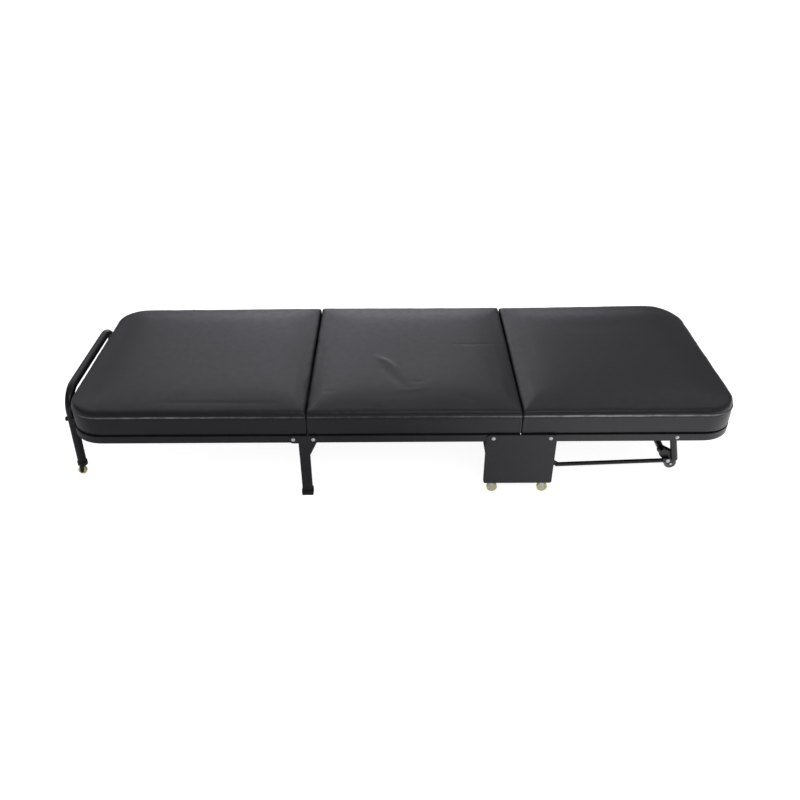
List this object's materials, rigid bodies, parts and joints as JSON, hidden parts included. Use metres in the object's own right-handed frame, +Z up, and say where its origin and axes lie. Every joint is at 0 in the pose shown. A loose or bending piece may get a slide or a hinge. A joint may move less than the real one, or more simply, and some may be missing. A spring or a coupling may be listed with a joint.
{
  "type": "folding bed",
  "caption": "Folding steel bed with three padded leatherette sections, a hinge box on casters, a centre leg, an end loop and a linked wheel leg.",
  "frame": {"origin": "on the floor, in the middle of the bed's length and width", "axes": "+X along the bed towards the foot end, +Y across it away from the front side, +Z up"},
  "size_m": [1.9152, 0.6344, 0.2954],
  "materials": {
    "leatherette": "soft satin black leatherette over foam",
    "frame_paint": "satin black powder coat",
    "sheet_paint": "satin black powder coat",
    "tube_paint": "semi-gloss black paint",
    "loop_paint": "gloss black enamel",
    "rod_paint": "gloss black paint",
    "rivet_zinc": "bright zinc plate",
    "fork_zinc": "dull zinc plate",
    "bolt_zinc": "zinc plate",
    "caster_amber": "amber nylon",
    "wheel_grey": "smoky grey plastic",
    "foot_rubber": "black rubber",
    "black_plastic": "black plastic",
    "board_ply": "plywood under a black cloth"
  },
  "bodies": {
    "hinge_box": {"box_plate_front": "sheet_paint", "box_plate_back": "sheet_paint", "box_cross_tubes": "sheet_paint", "link_lugs": "sheet_paint", "link_lug_pins": "rivet_zinc", "box_rivets": "rivet_zinc", "caster_plates": "fork_zinc"},
    "middle_section": {"middle_frame": "frame_paint", "middle_board": "board_ply", "middle_cushion": "leatherette", "middle_board_screws": "bolt_zinc"},
    "centre_leg": {"leg_tube_front": "tube_paint", "leg_tube_back": "tube_paint", "leg_plate_front": "sheet_paint", "leg_plate_back": "sheet_paint", "leg_cross_tube": "tube_paint", "leg_foot_front": "foot_rubber", "leg_foot_back": "foot_rubber", "leg_rivets": "rivet_zinc"},
    "head_section": {"head_frame": "frame_paint", "head_board": "board_ply", "head_cushion": "leatherette", "head_board_screws": "bolt_zinc", "end_loop": "loop_paint", "loop_pads": "black_plastic", "loop_bolts": "loop_paint", "loop_nuts": "bolt_zinc", "loop_ferrules": "black_plastic"},
    "foot_section": {"foot_frame": "frame_paint", "foot_board": "board_ply", "foot_cushion": "leatherette", "foot_board_screws": "bolt_zinc"},
    "wheel_leg": {"wheel_leg_pivot_tube": "tube_paint", "wheel_leg_arm_front": "tube_paint", "wheel_leg_arm_back": "tube_paint", "wheel_leg_cross_tube": "tube_paint", "wheel_bracket_front": "tube_paint", "wheel_bracket_back": "tube_paint", "wheel_leg_bolts": "rivet_zinc", "wheel_axles": "rivet_zinc", "link_end_pins": "rivet_zinc"},
    "leg_wheel_front": {"leg_wheel_front": "wheel_grey"},
    "leg_wheel_back": {"leg_wheel_back": "wheel_grey"},
    "link_rod_front": {"link_rod_front": "rod_paint"},
    "link_rod_back": {"link_rod_back": "rod_paint"},
    "box_caster_fork_1": {"box_caster_fork_1": "fork_zinc"},
    "box_caster_wheel_1": {"box_caster_wheel_1": "caster_amber"},
    "box_caster_fork_2": {"box_caster_fork_2": "fork_zinc"},
    "box_caster_wheel_2": {"box_caster_wheel_2": "caster_amber"},
    "box_caster_fork_3": {"box_caster_fork_3": "fork_zinc"},
    "box_caster_wheel_3": {"box_caster_wheel_3": "caster_amber"},
    "box_caster_fork_4": {"box_caster_fork_4": "fork_zinc"},
    "box_caster_wheel_4": {"box_caster_wheel_4": "caster_amber"},
    "loop_caster_fork_1": {"loop_caster_fork_1": "black_plastic"},
    "loop_caster_wheel_1": {"loop_caster_wheel_1": "caster_amber"},
    "loop_caster_fork_2": {"loop_caster_fork_2": "black_plastic"},
    "loop_caster_wheel_2": {"loop_caster_wheel_2": "caster_amber"}
  },
  "joints": [
    {"name": "middle_fold", "type": "hinge", "parent": "hinge_box", "child": "middle_section", "pos_m": [0.27359, 0, 0.199], "axis": [0, 1, 0], "range_deg": [0, 90], "deforming": ["middle_cushion"]},
    {"name": "centre_leg_fold", "type": "hinge", "parent": "middle_section", "child": "centre_leg", "pos_m": [-0.22841, 0, 0.199], "axis": [0, -1, 0], "range_deg": [0, 90]},
    {"name": "head_fold", "type": "hinge", "parent": "centre_leg", "child": "head_section", "pos_m": [-0.28441, 0, 0.199], "axis": [0, -1, 0], "range_deg": [0, 90]},
    {"name": "foot_fold", "type": "hinge", "parent": "hinge_box", "child": "foot_section", "pos_m": [0.43359, 0, 0.199], "axis": [0, -1, 0], "range_deg": [0, 90], "deforming": ["foot_cushion"]},
    {"name": "wheel_leg_fold", "type": "hinge", "parent": "foot_section", "child": "wheel_leg", "pos_m": [0.78759, 0, 0.199], "axis": [0, 1, 0], "range_deg": [0, 90]},
    {"name": "link_rod_front_swing", "type": "hinge", "parent": "hinge_box", "child": "link_rod_front", "pos_m": [0.46759, -0.2085, 0.039], "axis": [0, -1, 0], "range_deg": [0, 90]},
    {"name": "link_rod_back_swing", "type": "hinge", "parent": "hinge_box", "child": "link_rod_back", "pos_m": [0.46759, 0.2085, 0.039], "axis": [0, -1, 0], "range_deg": [0, 90]},
    {"name": "leg_wheel_front_spin", "type": "hinge", "parent": "wheel_leg", "child": "leg_wheel_front", "pos_m": [0.83659, -0.189, 0.0185], "axis": [0, 1, 0], "continuous": true},
    {"name": "leg_wheel_back_spin", "type": "hinge", "parent": "wheel_leg", "child": "leg_wheel_back", "pos_m": [0.83659, 0.189, 0.0185], "axis": [0, 1, 0], "continuous": true},
    {"name": "box_caster_swivel_1", "type": "hinge", "parent": "hinge_box", "child": "box_caster_fork_1", "pos_m": [0.27659, -0.2966, 0.039], "axis": [0, 0, 1], "continuous": true},
    {"name": "box_caster_roll_1", "type": "hinge", "parent": "box_caster_fork_1", "child": "box_caster_wheel_1", "pos_m": [0.28159, -0.2966, 0.015], "axis": [0, 1, 0], "continuous": true},
    {"name": "box_caster_swivel_2", "type": "hinge", "parent": "hinge_box", "child": "box_caster_fork_2", "pos_m": [0.42359, -0.2966, 0.039], "axis": [0, 0, 1], "continuous": true},
    {"name": "box_caster_roll_2", "type": "hinge", "parent": "box_caster_fork_2", "child": "box_caster_wheel_2", "pos_m": [0.42859, -0.2966, 0.015], "axis": [0, 1, 0], "continuous": true},
    {"name": "box_caster_swivel_3", "type": "hinge", "parent": "hinge_box", "child": "box_caster_fork_3", "pos_m": [0.27659, 0.2966, 0.039], "axis": [0, 0, 1], "continuous": true},
    {"name": "box_caster_roll_3", "type": "hinge", "parent": "box_caster_fork_3", "child": "box_caster_wheel_3", "pos_m": [0.28159, 0.2966, 0.015], "axis": [0, 1, 0], "continuous": true},
    {"name": "box_caster_swivel_4", "type": "hinge", "parent": "hinge_box", "child": "box_caster_fork_4", "pos_m": [0.42359, 0.2966, 0.039], "axis": [0, 0, 1], "continuous": true},
    {"name": "box_caster_roll_4", "type": "hinge", "parent": "box_caster_fork_4", "child": "box_caster_wheel_4", "pos_m": [0.42859, 0.2966, 0.015], "axis": [0, 1, 0], "continuous": true},
    {"name": "loop_caster_swivel_1", "type": "hinge", "parent": "head_section", "child": "loop_caster_fork_1", "pos_m": [-0.94009, -0.204, 0.03451], "axis": [0, 0, 1], "continuous": true},
    {"name": "loop_caster_roll_1", "type": "hinge", "parent": "loop_caster_fork_1", "child": "loop_caster_wheel_1", "pos_m": [-0.94509, -0.204, 0.0125], "axis": [0, 1, 0], "continuous": true},
    {"name": "loop_caster_swivel_2", "type": "hinge", "parent": "head_section", "child": "loop_caster_fork_2", "pos_m": [-0.94009, 0.204, 0.03451], "axis": [0, 0, 1], "continuous": true},
    {"name": "loop_caster_roll_2", "type": "hinge", "parent": "loop_caster_fork_2", "child": "loop_caster_wheel_2", "pos_m": [-0.94509, 0.204, 0.0125], "axis": [0, 1, 0], "continuous": true}
  ],
  "couplings": [
    {"joint": "centre_leg_fold", "follows": "middle_fold", "ratio": 1},
    {"joint": "wheel_leg_fold", "follows": "foot_fold", "ratio": 1},
    {"joint": "link_rod_front_swing", "follows": "foot_fold", "ratio": 1},
    {"joint": "link_rod_back_swing", "follows": "foot_fold", "ratio": 1}
  ]
}
